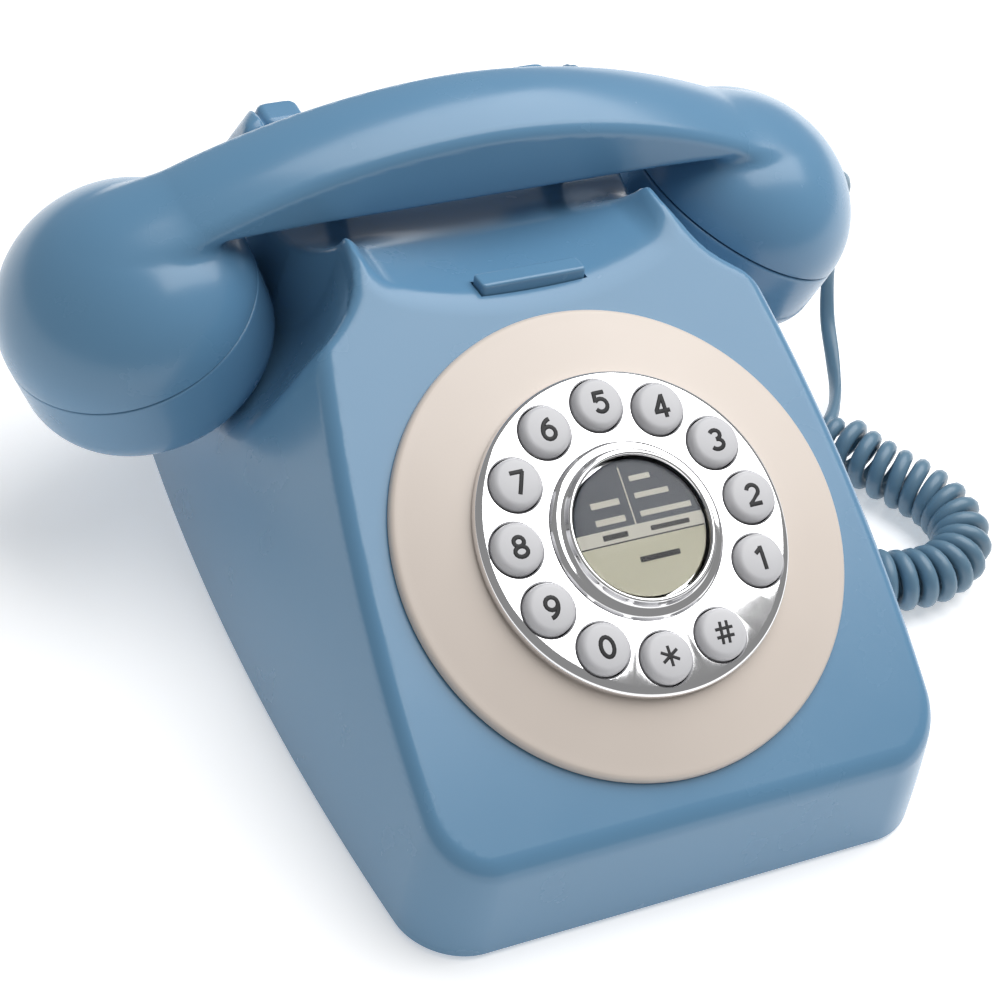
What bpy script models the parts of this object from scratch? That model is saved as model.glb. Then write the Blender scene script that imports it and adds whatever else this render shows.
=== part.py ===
"""Desk telephone with a round push-button dial: wedge case, cradle, handset and curly cord.

Frame: +X to the right of a person facing the dial, +Y to the back, +Z up, origin on the table under
the middle of the case.  Metres throughout.
"""
import math

import bmesh
import bpy
from mathutils import Matrix, Vector

MM = 0.001
GAP = 0.3 * MM                      # clearance between pieces that touch

# Case
CASE_DEPTH = 210 * MM
CASE_HALF_WIDTH = 73.8 * MM         # at the table, at the widest place
CASE_WIDEST_Y = -13 * MM
CASE_BOTTOM = 1.4 * MM
LIP_TOP = 29.0 * MM                 # top edge of the low front wall
LIP_DRAFT = 1.8 * MM
SIDE_BULGE = 0.75                    # side curvature in plan, per metre
WALL_DRAFT = 2.1                    # inward lean of the side walls, per metre of height squared
REAR_DRAFT = 1.4                    # the same for the rear wall
CASE_TOP = 94 * MM
WALL = 2.6 * MM
FRONT = -CASE_DEPTH / 2
REAR = CASE_DEPTH / 2
FRONT_CORNER = 14.3 * MM
REAR_CORNER = 17 * MM

# Sloping dial panel
SLOPE = math.radians(27)
DIAL_Y = FRONT + 61.3 * MM
DIAL_Z = 59.3 * MM

# Cradle: a trough along Y, a valley along X for the handle, a scoop at each side for the handset's ends
TROUGH_RADIUS = 155 * MM
TROUGH_FALL = math.radians(10)
TROUGH_Y = FRONT + 117 * MM
TROUGH_Z = 87.7 * MM
VALLEY_RADIUS = 22 * MM
HANDSET_Y = FRONT + 161.5 * MM
VALLEY_Z = 100.4 * MM
SCOOP_CENTRE = Vector((100, FRONT / MM + 163.5, 84.4)) * MM
SCOOP_RADII = Vector((61.8, 54.6, 54.6)) * MM
REAR_HORN = Vector((34.7, FRONT / MM + 194, 88.9)) * MM   # middle of its top
REAR_HORN_FOOT = Vector((11, 9, 22)) * MM                   # half width, half depth, height
REAR_HORN_TIP = Vector((6, 4.6)) * MM

# Dial stack: heights above the panel, radii about the dial's centre
SURROUND_RADIUS = 57.2 * MM
SURROUND_EDGE = 2.2 * MM            # height of its rim, from which it rises towards the plate
SURROUND_TOP = 6.0 * MM
PLATE_RADIUS = 39.2 * MM
PLATE_TOP = 9.4 * MM
BEZEL_RADIUS = 19.0 * MM
BEZEL_TOP = 11.8 * MM
LENS_RADIUS = 14.4 * MM
KEY_CIRCLE = 30.5 * MM
KEY_RADIUS = 6.7 * MM
KEY_TOP = 12.0 * MM
KEY_FOOT = 4.0 * MM
KEY_TRAVEL = 1.5 * MM
KEY_NAMES = ("1", "2", "3", "4", "5", "6", "7", "8", "9", "0", "star", "hash")
FIRST_KEY = math.radians(-26)
KEY_STEP = math.radians(29)
DIAL_HOLE = 47.5 * MM

# Handset
CAP_X = 84.8 * MM
CAP_Z = 64 * MM                     # middle of the seam between bulb and cap
CAP_TILT = math.radians(24.5)
CAP_RADIUS = 32.2 * MM
BULB_HEIGHT = 27.4 * MM
CAP_DEPTH = 23 * MM
HANDLE_TOP = 113 * MM
HANDLE_BOTTOM = 91 * MM
HANDLE_WIDTH = 26 * MM
HANDLE_ARCH = 2.9                  # drop of the handle's top, per metre of length squared
HANDLE_END = 74 * MM
SKIN = 2.6 * MM

# Hook plungers
PLUNGER_X = 30 * MM
PLUNGER_Y = HANDSET_Y + 4.5 * MM
PLUNGER_TOP = 90.6 * MM

# Recall bar, square to the trough's floor
BAR_PLACE = Vector((0, FRONT / MM + 122.9, 87.2)) * MM

# Curly cord
CORD_DIAMETER = 4.4 * MM
COIL_DIAMETER = 16.4 * MM
COIL_Z = COIL_DIAMETER / 2 + 0.4 * MM

BLUE = ("gloss blue", (0.18, 0.34, 0.51, 1), 0.18, 0.0)
CREAM = ("satin cream", (0.80, 0.74, 0.64, 1), 0.35, 0.0)
CHROME = ("chrome", (0.85, 0.85, 0.87, 1), 0.06, 1.0)
GREY = ("key grey", (0.58, 0.58, 0.61, 1), 0.3, 0.0)
SLATE = ("label card", (0.35, 0.37, 0.40, 1), 0.6, 0.0)
CLEAR = ("clear lens", (0.9, 0.92, 0.92, 1), 0.05, 0.0)
DARK = ("dark plastic", (0.05, 0.055, 0.06, 1), 0.5, 0.0)
RUBBER = ("rubber", (0.04, 0.04, 0.045, 1), 0.8, 0.0)
BOARD = ("circuit board", (0.06, 0.22, 0.12, 1), 0.5, 0.0)
STEEL = ("plated steel", (0.6, 0.6, 0.62, 1), 0.35, 1.0)
CORD_BLUE = ("cord blue", (0.13, 0.27, 0.40, 1), 0.4, 0.0)


def clear_scene():
    for obj in list(bpy.data.objects):
        bpy.data.objects.remove(obj, do_unlink=True)


def collection(name):
    made = bpy.data.collections.new(name)
    bpy.context.scene.collection.children.link(made)
    return made


clear_scene()
PARTS = collection("desk_telephone")
CUTTERS = collection("cutters")


def material(look):
    name, colour, roughness, metallic = look
    found = bpy.data.materials.get(name)
    if found:
        return found
    made = bpy.data.materials.new(name)
    made.use_nodes = True
    shader = made.node_tree.nodes["Principled BSDF"]
    shader.inputs["Base Color"].default_value = colour
    shader.inputs["Roughness"].default_value = roughness
    shader.inputs["Metallic"].default_value = metallic
    made.diffuse_color = colour
    return made


def put(name, mesh, look, parent=None, at=(0, 0, 0), smooth=40):
    """A new sub-part in the parts collection."""
    obj = bpy.data.objects.new(name, mesh)
    PARTS.objects.link(obj)
    obj.location = at
    obj.parent = parent
    if not mesh.materials:
        mesh.materials.append(material(look))
    mesh.shade_smooth()
    mesh.set_sharp_from_angle(angle=math.radians(smooth))
    return obj


def guide(name, at, turn=(0, 0, 0), parent=None):
    """An empty that carries a tilted or moving group."""
    empty = bpy.data.objects.new(name, None)
    PARTS.objects.link(empty)
    empty.location = at
    empty.rotation_euler = turn
    empty.parent = parent
    return empty


def mesh_from(build):
    bm = bmesh.new()
    build(bm)
    mesh = bpy.data.meshes.new("shape")
    bm.to_mesh(mesh)
    bm.free()
    return mesh


def box_mesh(size, at=(0, 0, 0), edge=0.0):
    def build(bm):
        bmesh.ops.create_cube(bm, size=1, matrix=Matrix.Translation(at) @ Matrix.Diagonal((*size, 1)))
        if edge:
            bmesh.ops.bevel(bm, geom=bm.edges[:], offset=edge, segments=1, affect="EDGES")
    return mesh_from(build)


def drum_mesh(radius, low, high, sides=24, top_radius=None, at=(0, 0)):
    """A cylinder or cone along Z from low to high."""
    def build(bm):
        bmesh.ops.create_cone(
            bm, cap_ends=True, segments=sides, radius1=radius, radius2=top_radius or radius,
            depth=high - low, matrix=Matrix.Translation((at[0], at[1], (low + high) / 2)))
    return mesh_from(build)


def ball_mesh(radii, across=24, down=14):
    def build(bm):
        bmesh.ops.create_uvsphere(
            bm, u_segments=across, v_segments=down, radius=1, matrix=Matrix.Diagonal((*radii, 1)))
    return mesh_from(build)


def cutter(mesh, at=(0, 0, 0), turn=(0, 0, 0), parent=None):
    obj = bpy.data.objects.new("cutter", mesh)
    CUTTERS.objects.link(obj)
    obj.location = at
    obj.rotation_euler = turn
    obj.parent = parent
    obj.hide_render = True
    obj.display_type = "WIRE"
    return obj


def combine(obj, other, operation="DIFFERENCE"):
    step = obj.modifiers.new(operation.lower(), "BOOLEAN")
    step.operation = operation
    step.solver = "EXACT"
    step.object = other
    return obj


def turned(name, profile, look, steps=36, parent=None, at=(0, 0, 0)):
    """A profile of (radius, height) points, down its outer side, turned about Z."""
    mesh = bpy.data.meshes.new(name)
    closed = profile[0][0] > 0
    count = len(profile)
    edges = [(i, i + 1) for i in range(count - 1)] + ([(count - 1, 0)] if closed else [])
    mesh.from_pydata([(r, 0, z) for r, z in profile], edges, [])
    obj = put(name, mesh, look, parent, at)
    screw = obj.modifiers.new("turn", "SCREW")
    screw.steps = screw.render_steps = steps
    screw.use_merge_vertices = True
    screw.merge_threshold = 0.00005
    screw.use_smooth_shade = True
    return obj


def skin_rings(bm, rings):
    """Joins closed rings of equal length, with a cap on the first and last."""
    loops = [[bm.verts.new(p) for p in ring] for ring in rings]
    for low, high in zip(loops, loops[1:]):
        for i in range(len(low)):
            j = (i + 1) % len(low)
            bm.faces.new((low[i], low[j], high[j], high[i]))
    bm.faces.new(loops[0][::-1])
    bm.faces.new(loops[-1])
    bmesh.ops.recalc_face_normals(bm, faces=bm.faces[:])


# ---------------------------------------------------------------- case

def case_half_width(y, z):
    return CASE_HALF_WIDTH - SIDE_BULGE * (y - CASE_WIDEST_Y) ** 2 - WALL_DRAFT * max(z, 0) ** 2


def case_outline(z, inset, arc_steps=5, side_steps=7):
    """The case's plan at height z, as points round it from the front left corner."""
    front = FRONT + LIP_DRAFT * z / LIP_TOP + inset
    rear = REAR - REAR_DRAFT * max(z, 0) ** 2 - inset
    half = []
    for i in range(arc_steps):
        a = math.pi / 2 * i / arc_steps
        y = front + FRONT_CORNER * (1 - math.cos(a))
        half.append((case_half_width(y, z) - inset - FRONT_CORNER * (1 - math.sin(a)), y))
    first, last = front + FRONT_CORNER, rear - REAR_CORNER
    for i in range(side_steps + 1):
        y = first + (last - first) * i / side_steps
        half.append((case_half_width(y, z) - inset, y))
    for i in range(1, arc_steps + 1):
        a = math.pi / 2 * i / arc_steps
        y = last + REAR_CORNER * math.sin(a)
        half.append((case_half_width(y, z) - inset - REAR_CORNER * (1 - math.cos(a)), y))
    return [(x, y, z) for x, y in half] + [(-x, y, z) for x, y in reversed(half)]


def cradle_cutters(inset):
    """The trough, valley and two scoops, each grown by inset for the inside of the wall."""
    length = 0.16
    drop = TROUGH_RADIUS + inset
    trough = drum_mesh(drop, 0, length, sides=96)
    trough.transform(Matrix.Translation((0, 0, -0.02)))
    centre = Vector((0, TROUGH_Y, TROUGH_Z)) + TROUGH_RADIUS * Vector(
        (0, math.sin(TROUGH_FALL), math.cos(TROUGH_FALL)))
    made = [cutter(trough, centre, (-math.pi / 2 - TROUGH_FALL, 0, 0))]
    valley = drum_mesh(VALLEY_RADIUS + inset, -0.1, 0.1, sides=28)
    made.append(cutter(valley, (0, HANDSET_Y + 1.5 * MM, VALLEY_Z), (0, math.pi / 2, 0)))
    radii = SCOOP_RADII + Vector((inset, inset, inset))
    for side in (-1, 1):
        at = Vector((side * SCOOP_CENTRE.x, SCOOP_CENTRE.y, SCOOP_CENTRE.z))
        made.append(cutter(ball_mesh(radii, across=36, down=20), at))
    return made


def case_solid(inset, bottom):
    """The outer form of the case, or its inside when inset is the wall's thickness."""
    top = CASE_TOP - inset
    heights = [bottom + (top - bottom) * i / 7 for i in range(8)]

    def build(bm):
        skin_rings(bm, [case_outline(z, inset) for z in heights])
        normal = Vector((0, -math.sin(SLOPE), math.cos(SLOPE)))
        point = Vector((0, DIAL_Y, DIAL_Z)) - inset * normal
        cut = bmesh.ops.bisect_plane(
            bm, geom=bm.verts[:] + bm.edges[:] + bm.faces[:], plane_co=point, plane_no=normal,
            clear_outer=True)
        rim = [e for e in cut["geom_cut"] if isinstance(e, bmesh.types.BMEdge)]
        bmesh.ops.contextual_create(bm, geom=rim)
        bmesh.ops.recalc_face_normals(bm, faces=bm.faces[:])
    return mesh_from(build)


def oval(half_width, half_depth, z, points=12):
    return [(half_width * math.cos(a), half_depth * math.sin(a), z)
            for a in (2 * math.pi * i / points for i in range(points))]


def horn_mesh():
    """A rear horn: a tab with a short top, spreading downwards, with the middle of its top at the origin."""
    def build(bm):
        foot, tip = REAR_HORN_FOOT, REAR_HORN_TIP
        rings = [oval(foot.x, foot.y, -foot.z)]
        for lift, share in ((0.55, 0.45), (0.93, 0.12), (1.0, 0.0)):
            shrink = 0.82 if lift == 1.0 else 1.0
            rings.append(oval(
                shrink * (tip.x + (foot.x - tip.x) * share), shrink * (tip.y + (foot.y - tip.y) * share),
                -foot.z * (1 - lift)))
        skin_rings(bm, rings)
    return mesh_from(build)


def make_case():
    case = put("case_shell", case_solid(0, CASE_BOTTOM), BLUE, smooth=25)
    for tool in cradle_cutters(0):
        combine(case, tool)
    for side in (-1, 1):
        combine(case, cutter(horn_mesh(), (side * REAR_HORN.x, REAR_HORN.y, REAR_HORN.z)), "UNION")
    hollow = cutter(case_solid(WALL, CASE_BOTTOM - 5 * MM))
    for tool in cradle_cutters(WALL):
        combine(hollow, tool)
    combine(case, hollow)
    return case


def fit_case(case, dial):
    """Openings for the dial, the plungers, the recall bar and the rear sockets."""
    combine(case, cutter(drum_mesh(DIAL_HOLE, -8 * MM, 8 * MM, sides=48), parent=dial))
    for side in (-1, 1):
        hole = drum_mesh(3.1 * MM, 66 * MM, 95 * MM, sides=16)
        combine(case, cutter(hole, (side * PLUNGER_X, PLUNGER_Y, 0)))
    combine(case, cutter(box_mesh((28.4 * MM, 6.2 * MM, 14 * MM)), BAR_PLACE, (-TROUGH_FALL, 0, 0)))
    combine(case, cutter(box_mesh((13.2 * MM, 30 * MM, 11.2 * MM)), (-30 * MM, REAR, 13 * MM)))
    combine(case, cutter(box_mesh((12.2 * MM, 30 * MM, 10.2 * MM)), (45 * MM, REAR, 13 * MM)))
    combine(case, cutter(box_mesh((12.6 * MM, 30 * MM, 4.6 * MM)), (5 * MM, REAR, 16 * MM)))


def make_base():
    """Base plate, feet, screws, ballast and what is fixed to the plate."""
    floor_low, floor_high = CASE_BOTTOM + 0.4 * MM, CASE_BOTTOM + 2.6 * MM
    inset = WALL + GAP

    def build(bm):
        skin_rings(bm, [case_outline(z, inset) for z in (floor_low, floor_high)])
    plate = put("base_plate", mesh_from(build), DARK)
    spots = [(sx * 54 * MM, sy) for sx in (-1, 1) for sy in (FRONT + 22 * MM, REAR - 22 * MM)]
    for number, (x, y) in enumerate(spots, 1):
        foot = [(0, floor_low - GAP), (8 * MM, floor_low - GAP), (7.4 * MM, 0), (0, 0)]
        turned(f"foot_{number}", foot, RUBBER, steps=20, at=(x, y, 0))
    screws = [(sx * 40 * MM, sy) for sx in (-1, 1) for sy in (FRONT + 22 * MM, REAR - 26 * MM)]
    for number, (x, y) in enumerate(screws, 1):
        combine(plate, cutter(drum_mesh(1.9 * MM, -1 * MM, 8 * MM, sides=12), (x, y, 0)))
        profile = [
            (0, floor_high + 6 * MM), (1.5 * MM, floor_high + 6 * MM), (1.5 * MM, floor_low - GAP),
            (3.0 * MM, floor_low - GAP), (3.0 * MM, floor_low - 1.5 * MM), (0, floor_low - 1.5 * MM)]
        turned(f"base_screw_{number}", profile, STEEL, steps=14, at=(x, y, 0))
    floor = floor_high + GAP
    put("ballast_weight", box_mesh((70 * MM, 34 * MM, 9 * MM), (0, FRONT + 32 * MM, floor + 4.5 * MM),
                                   edge=1 * MM), STEEL)
    put("main_board", box_mesh((96 * MM, 52 * MM, 1.6 * MM), (0, FRONT + 116 * MM, floor + 6.8 * MM)),
        BOARD)
    for number, (x, y) in enumerate([(sx * 42 * MM, FRONT + yy * MM) for sx in (-1, 1) for yy in (96, 136)], 1):
        post = [(0, floor + 6 * MM - GAP), (3 * MM, floor + 6 * MM - GAP), (3 * MM, floor), (0, floor)]
        turned(f"board_post_{number}", post, DARK, steps=12, at=(x, y, 0))
    ringer = [
        (0, floor + 15 * MM), (15 * MM, floor + 15 * MM), (17 * MM, floor + 13 * MM),
        (17 * MM, floor), (0, floor)]
    turned("ringer_sounder", ringer, DARK, steps=28, at=(-16 * MM, FRONT + 165 * MM, 0))


def make_rear_fittings():
    """Line socket, handset cord socket and ringer slider in the rear wall."""
    def socket(name, x, size, mouth):
        at = (x, REAR - 8.6 * MM, 13 * MM)
        body = put(name, box_mesh((size[0], 16 * MM, size[1]), at, edge=0.4 * MM), DARK)
        hole = box_mesh((mouth[0], 12 * MM, mouth[1]), (x, REAR - 4 * MM, 13 * MM))
        combine(body, cutter(hole))
    socket("line_socket", -30 * MM, (12.6 * MM, 10.6 * MM), (9.8 * MM, 7.2 * MM))
    socket("handset_socket", 45 * MM, (11.6 * MM, 9.6 * MM), (7.8 * MM, 6.6 * MM))
    switch = put("ringer_switch", box_mesh((6 * MM, 6 * MM, 4 * MM), (5 * MM, REAR - 3.2 * MM, 16 * MM),
                                           edge=0.4 * MM), DARK)
    return switch


# ---------------------------------------------------------------- dial

def make_dial(dial):
    surround = [
        (38.2 * MM, SURROUND_TOP), (SURROUND_RADIUS - 1.2 * MM, SURROUND_EDGE),
        (SURROUND_RADIUS - 0.2 * MM, SURROUND_EDGE - 0.7 * MM), (SURROUND_RADIUS, GAP),
        (DIAL_HOLE - GAP, GAP), (DIAL_HOLE - GAP, -5 * MM),
        (DIAL_HOLE - 2.3 * MM, -5 * MM), (DIAL_HOLE - 2.3 * MM, 1.4 * MM), (38.2 * MM, 3.6 * MM)]
    turned("dial_surround", surround, CREAM, steps=56, parent=dial)

    plate = [
        (PLATE_RADIUS - 1.0 * MM, PLATE_TOP), (PLATE_RADIUS, PLATE_TOP - 0.9 * MM),
        (PLATE_RADIUS, SURROUND_TOP + GAP), (37.9 * MM, SURROUND_TOP + GAP), (37.9 * MM, 6.8 * MM),
        (16.4 * MM, 6.8 * MM), (16.4 * MM, PLATE_TOP)]
    key_plate = turned("key_plate", plate, CHROME, steps=56, parent=dial)

    bezel = [
        (BEZEL_RADIUS - 2.2 * MM, BEZEL_TOP), (BEZEL_RADIUS, PLATE_TOP + 1.2 * MM),
        (BEZEL_RADIUS, PLATE_TOP + GAP), (16.1 * MM, PLATE_TOP + GAP), (16.1 * MM, 3.4 * MM),
        (15.0 * MM, 3.4 * MM), (15.0 * MM, BEZEL_TOP - 0.5 * MM)]
    turned("centre_bezel", bezel, CHROME, steps=44, parent=dial)

    card_low = 8.4 * MM
    button = [
        (0, card_low - GAP), (LENS_RADIUS, card_low - GAP), (LENS_RADIUS, KEY_FOOT), (0, KEY_FOOT)]
    turned("redial_button", button, GREY, steps=36, parent=dial)
    card = [(0, card_low + 0.4 * MM), (LENS_RADIUS, card_low + 0.4 * MM), (LENS_RADIUS, card_low),
            (0, card_low)]
    turned("label_card", card, SLATE, steps=36, parent=dial)
    lens_low = card_low + 0.4 * MM + GAP
    lens = [(0, lens_low + 2.2 * MM), (6 * MM, lens_low + 2.0 * MM), (11 * MM, lens_low + 1.5 * MM),
            (LENS_RADIUS, lens_low + 0.7 * MM), (LENS_RADIUS, lens_low), (0, lens_low)]
    turned("label_lens", lens, CLEAR, steps=36, parent=dial)

    profile = [
        (0, KEY_TOP), (4.6 * MM, KEY_TOP - 0.3 * MM), (6.3 * MM, KEY_TOP - 1.2 * MM),
        (KEY_RADIUS, KEY_TOP - 2.2 * MM), (KEY_RADIUS, KEY_FOOT), (0, KEY_FOOT)]
    for number, key in enumerate(KEY_NAMES):
        angle = FIRST_KEY + KEY_STEP * number
        at = (KEY_CIRCLE * math.cos(angle), KEY_CIRCLE * math.sin(angle), 0)
        turned(f"key_{key}", profile, GREY, steps=18, parent=dial, at=at)
        hole = drum_mesh(KEY_RADIUS + 0.4 * MM, 5 * MM, 12 * MM, sides=18)
        combine(key_plate, cutter(hole, at, parent=dial))

    mat_top = KEY_FOOT - KEY_TRAVEL - GAP
    mat = [(0, mat_top), (37.6 * MM, mat_top), (37.6 * MM, mat_top - 1.2 * MM), (0, mat_top - 1.2 * MM)]
    turned("key_mat", mat, RUBBER, steps=36, parent=dial)
    board_top = mat_top - 1.2 * MM - GAP
    board = [(0, board_top), (44.8 * MM, board_top), (44.8 * MM, board_top - 1.6 * MM),
             (0, board_top - 1.6 * MM)]
    turned("keypad_board", board, BOARD, steps=36, parent=dial)


# ---------------------------------------------------------------- cradle hardware

def make_cradle():
    yoke_top = 55 * MM
    for side, name in ((-1, "left"), (1, "right")):
        profile = [
            (0, PLUNGER_TOP), (2.0 * MM, PLUNGER_TOP - 0.4 * MM), (2.7 * MM, PLUNGER_TOP - 1.6 * MM),
            (2.7 * MM, yoke_top + GAP), (0, yoke_top + GAP)]
        turned(f"hook_plunger_{name}", profile, DARK, steps=16, at=(side * PLUNGER_X, PLUNGER_Y, 0))
    put("hook_yoke", box_mesh((68 * MM, 8 * MM, 3 * MM), (0, PLUNGER_Y, yoke_top - 1.5 * MM),
                              edge=0.4 * MM), DARK)
    put("hook_switch", box_mesh((14 * MM, 8 * MM, 46 * MM), (12 * MM, PLUNGER_Y, 27.4 * MM), edge=0.5 * MM),
        DARK)
    cap = box_mesh((27.8 * MM, 5.6 * MM, 6.4 * MM), (0, 0, -0.7 * MM), edge=0.5 * MM)
    put("recall_bar", cap, BLUE, parent=guide("bar_axis", BAR_PLACE, (-TROUGH_FALL, 0, 0)))


# ---------------------------------------------------------------- handset

def handle_section(x, inset, points=14):
    """A section of the handle: flat underside, upright sides, crowned top."""
    top = HANDLE_TOP - HANDLE_ARCH * x * x - inset
    bottom = HANDLE_BOTTOM - 0.9 * max(abs(x) - 40 * MM, 0) ** 2 / (20 * MM) + inset
    half = HANDLE_WIDTH / 2 - inset
    crown = 6 * MM
    edge = 2.5 * MM
    ring = [(-half + edge, bottom), (-half, bottom + edge), (-half, top - crown)]
    for i in range(1, 8):
        a = math.pi * (1 - i / 8)
        ring.append((half * math.cos(a) * 0.97, top - crown + crown * math.sin(a) ** 0.8))
    ring += [(half, top - crown), (half, bottom + edge), (half - edge, bottom)]
    return [(x, HANDSET_Y + y, z) for y, z in ring]


def handle_mesh(inset, reach, stations=15):
    def build(bm):
        places = [-reach + 2 * reach * i / (stations - 1) for i in range(stations)]
        skin_rings(bm, [handle_section(x, inset) for x in places])
    return mesh_from(build)


def bulb_mesh(inset):
    """A dome over the seam plane, in the cap's own frame."""
    def build(bm):
        radius = CAP_RADIUS - inset
        bmesh.ops.create_uvsphere(
            bm, u_segments=28, v_segments=16, radius=1,
            matrix=Matrix.Diagonal((radius, radius, BULB_HEIGHT - inset, 1)))
    return mesh_from(build)


def make_handset():
    shell = put("handset_shell", handle_mesh(0, HANDLE_END), BLUE, smooth=35)
    axes = {}
    for side, name in ((-1, "ear"), (1, "mouth")):
        axis = guide(f"{name}_axis", (side * CAP_X, HANDSET_Y, CAP_Z), (0, side * CAP_TILT, 0))
        axes[name] = axis
        combine(shell, cutter(bulb_mesh(0), parent=axis), "UNION")
    for axis in axes.values():
        below = box_mesh((90 * MM, 90 * MM, 60 * MM), (0, 0, -30 * MM + GAP / 2))
        combine(shell, cutter(below, parent=axis))
    hollow = cutter(handle_mesh(SKIN, HANDLE_END))
    combine(shell, hollow)
    for axis in axes.values():
        combine(shell, cutter(bulb_mesh(SKIN), parent=axis))
    for name, axis in axes.items():
        make_cap(name, axis)
    capsule = [(0, 0), (17 * MM, 0), (17 * MM, -9 * MM), (0, -9 * MM)]
    turned("receiver_capsule", capsule, DARK, steps=24, parent=axes["ear"], at=(0, 0, -9.2 * MM))
    small = [(0, 0), (7 * MM, 0), (7 * MM, -6 * MM), (0, -6 * MM)]
    turned("microphone_capsule", small, DARK, steps=18, parent=axes["mouth"], at=(0, 0, -12.2 * MM))
    put("handset_weight", box_mesh((44 * MM, 12 * MM, 8 * MM), (0, HANDSET_Y, 98 * MM), edge=0.5 * MM),
        STEEL)
    return axes


def make_cap(name, axis):
    """A dished cap, open towards the bulb, with sound holes in its face."""
    rim = -GAP / 2
    inner = [
        (0, -18.6 * MM), (CAP_RADIUS - 13 * MM, -20.2 * MM), (CAP_RADIUS - 6.6 * MM, -16.4 * MM),
        (CAP_RADIUS - 3.4 * MM, -10 * MM), (CAP_RADIUS - SKIN, rim)]
    outer = [
        (CAP_RADIUS, rim), (CAP_RADIUS - 0.1 * MM, -7 * MM), (CAP_RADIUS - 1.3 * MM, -12.6 * MM),
        (CAP_RADIUS - 4.2 * MM, -18 * MM), (CAP_RADIUS - 8.0 * MM, -21.4 * MM),
        (CAP_RADIUS - 12 * MM, -CAP_DEPTH), (9 * MM, -21.4 * MM), (0, -21.2 * MM)]
    cap = turned(f"{name}_cap", inner + outer, BLUE, steps=36, parent=axis)
    for i in range(6):
        a = math.pi / 3 * i
        hole = drum_mesh(1.3 * MM, -26 * MM, -16 * MM, sides=8, at=(6 * MM * math.cos(a), 6 * MM * math.sin(a)))
        combine(cap, cutter(hole, parent=axis))


# ---------------------------------------------------------------- cord

def at_case(x, y, z):
    """A point given in millimetres, with y measured back from the case's front."""
    return Vector((x * MM, FRONT + y * MM, z * MM))


GLAND_ROOT = at_case(113.8, 166, 62.9)
GLAND_TIP = at_case(122.8, 168.2, 59)
GLAND_WAY = (GLAND_TIP - GLAND_ROOT).normalized()
LEAD_ROUTE = [
    GLAND_TIP + 0.4 * MM * GLAND_WAY, GLAND_TIP + 2.2 * MM * GLAND_WAY, at_case(128.2, 169.2, 53.8),
    at_case(128.8, 168.8, 41.4),
    at_case(128.8, 166, 26), at_case(128, 159.5, 14.5), at_case(125.2, 149, 9), at_case(121, 139, 7),
    at_case(116, 131.5, 7.6), at_case(111.4, 126.4, 8.4)]
COIL_ROUTE = [
    at_case(x, y, COIL_Z / MM) for x, y in (
        (108.4, 123.4), (110.6, 116.6), (113.6, 109.6), (117.4, 103), (121.6, 96.6), (124.8, 89),
        (125, 80.6), (121.4, 73.4), (114.4, 69), (105.8, 67.6), (96.8, 68.8), (89.2, 72.6),
        (85.6, 80), (84.8, 92), (84.8, 106), (84.8, 124), (84.8, 144), (84.6, 164), (84, 184),
        (82.8, 200), (78.4, 212.6), (69.4, 219.8), (59, 221.6))]
BASE_ROUTE = [at_case(58, 221.7, COIL_Z / MM), at_case(52.4, 222, 10), at_case(46.6, 219, 12),
              at_case(45, 213.8, 13)]


def smooth_path(route, spacing):
    """Points every spacing or so along a Catmull-Rom curve through the route's points."""
    ends = [2 * route[0] - route[1], *route, 2 * route[-1] - route[-2]]
    path = [route[0]]
    for a, b, c, d in zip(ends, ends[1:], ends[2:], ends[3:]):
        count = max(1, round((c - b).length / spacing))
        for i in range(1, count + 1):
            t = i / count
            path.append(0.5 * (2 * b + (c - a) * t + (2 * a - 5 * b + 4 * c - d) * t * t
                               + (3 * b - a - 3 * c + d) * t ** 3))
    return path


def tube(name, route, diameter, spacing, look, resolution=2):
    """A round tube along a route, as a curve with a bevel and filled caps."""
    curve = bpy.data.curves.new(name, "CURVE")
    curve.dimensions = "3D"
    curve.bevel_depth = diameter / 2
    curve.bevel_resolution = resolution
    curve.use_fill_caps = True
    path = smooth_path(route, spacing)
    spline = curve.splines.new("POLY")
    spline.points.add(len(path) - 1)
    for point, place in zip(spline.points, path):
        point.co = (*place, 1)
    curve.materials.append(material(look))
    obj = bpy.data.objects.new(name, curve)
    PARTS.objects.link(obj)
    return obj


def make_cord(shell):
    """The handset's strain relief, its lead, the coil and the short lead into the rear socket."""
    turn = (GLAND_TIP - GLAND_ROOT).to_track_quat("Z", "Y").to_euler()
    gland = guide("gland_axis", GLAND_ROOT, turn)
    length = (GLAND_TIP - GLAND_ROOT).length
    profile = [
        (0, length), (2.4 * MM, length), (2.9 * MM, 4.4 * MM), (3.6 * MM, 3.2 * MM), (3.6 * MM, -3 * MM),
        (0, -3 * MM)]
    turned("cord_gland", profile, CORD_BLUE, steps=14, parent=gland)
    combine(shell, cutter(drum_mesh(3.9 * MM, -12 * MM, 12 * MM, sides=14), parent=gland))
    tube("handset_lead", LEAD_ROUTE, CORD_DIAMETER, 10 * MM, CORD_BLUE)
    tube("cord_coil", COIL_ROUTE, COIL_DIAMETER, 10 * MM, CORD_BLUE)
    tube("base_lead", BASE_ROUTE, CORD_DIAMETER, 6 * MM, CORD_BLUE)
    put("cord_plug", box_mesh((6.4 * MM, 9 * MM, 5.4 * MM), at_case(45, 208.4, 13), edge=0.4 * MM), CLEAR)


def build():
    dial = guide("dial_axis", (0, DIAL_Y, DIAL_Z), (SLOPE, 0, 0))
    case = make_case()
    fit_case(case, dial)
    make_base()
    make_rear_fittings()
    make_dial(dial)
    make_cradle()
    make_handset()
    make_cord(bpy.data.objects["handset_shell"])


build()
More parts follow.
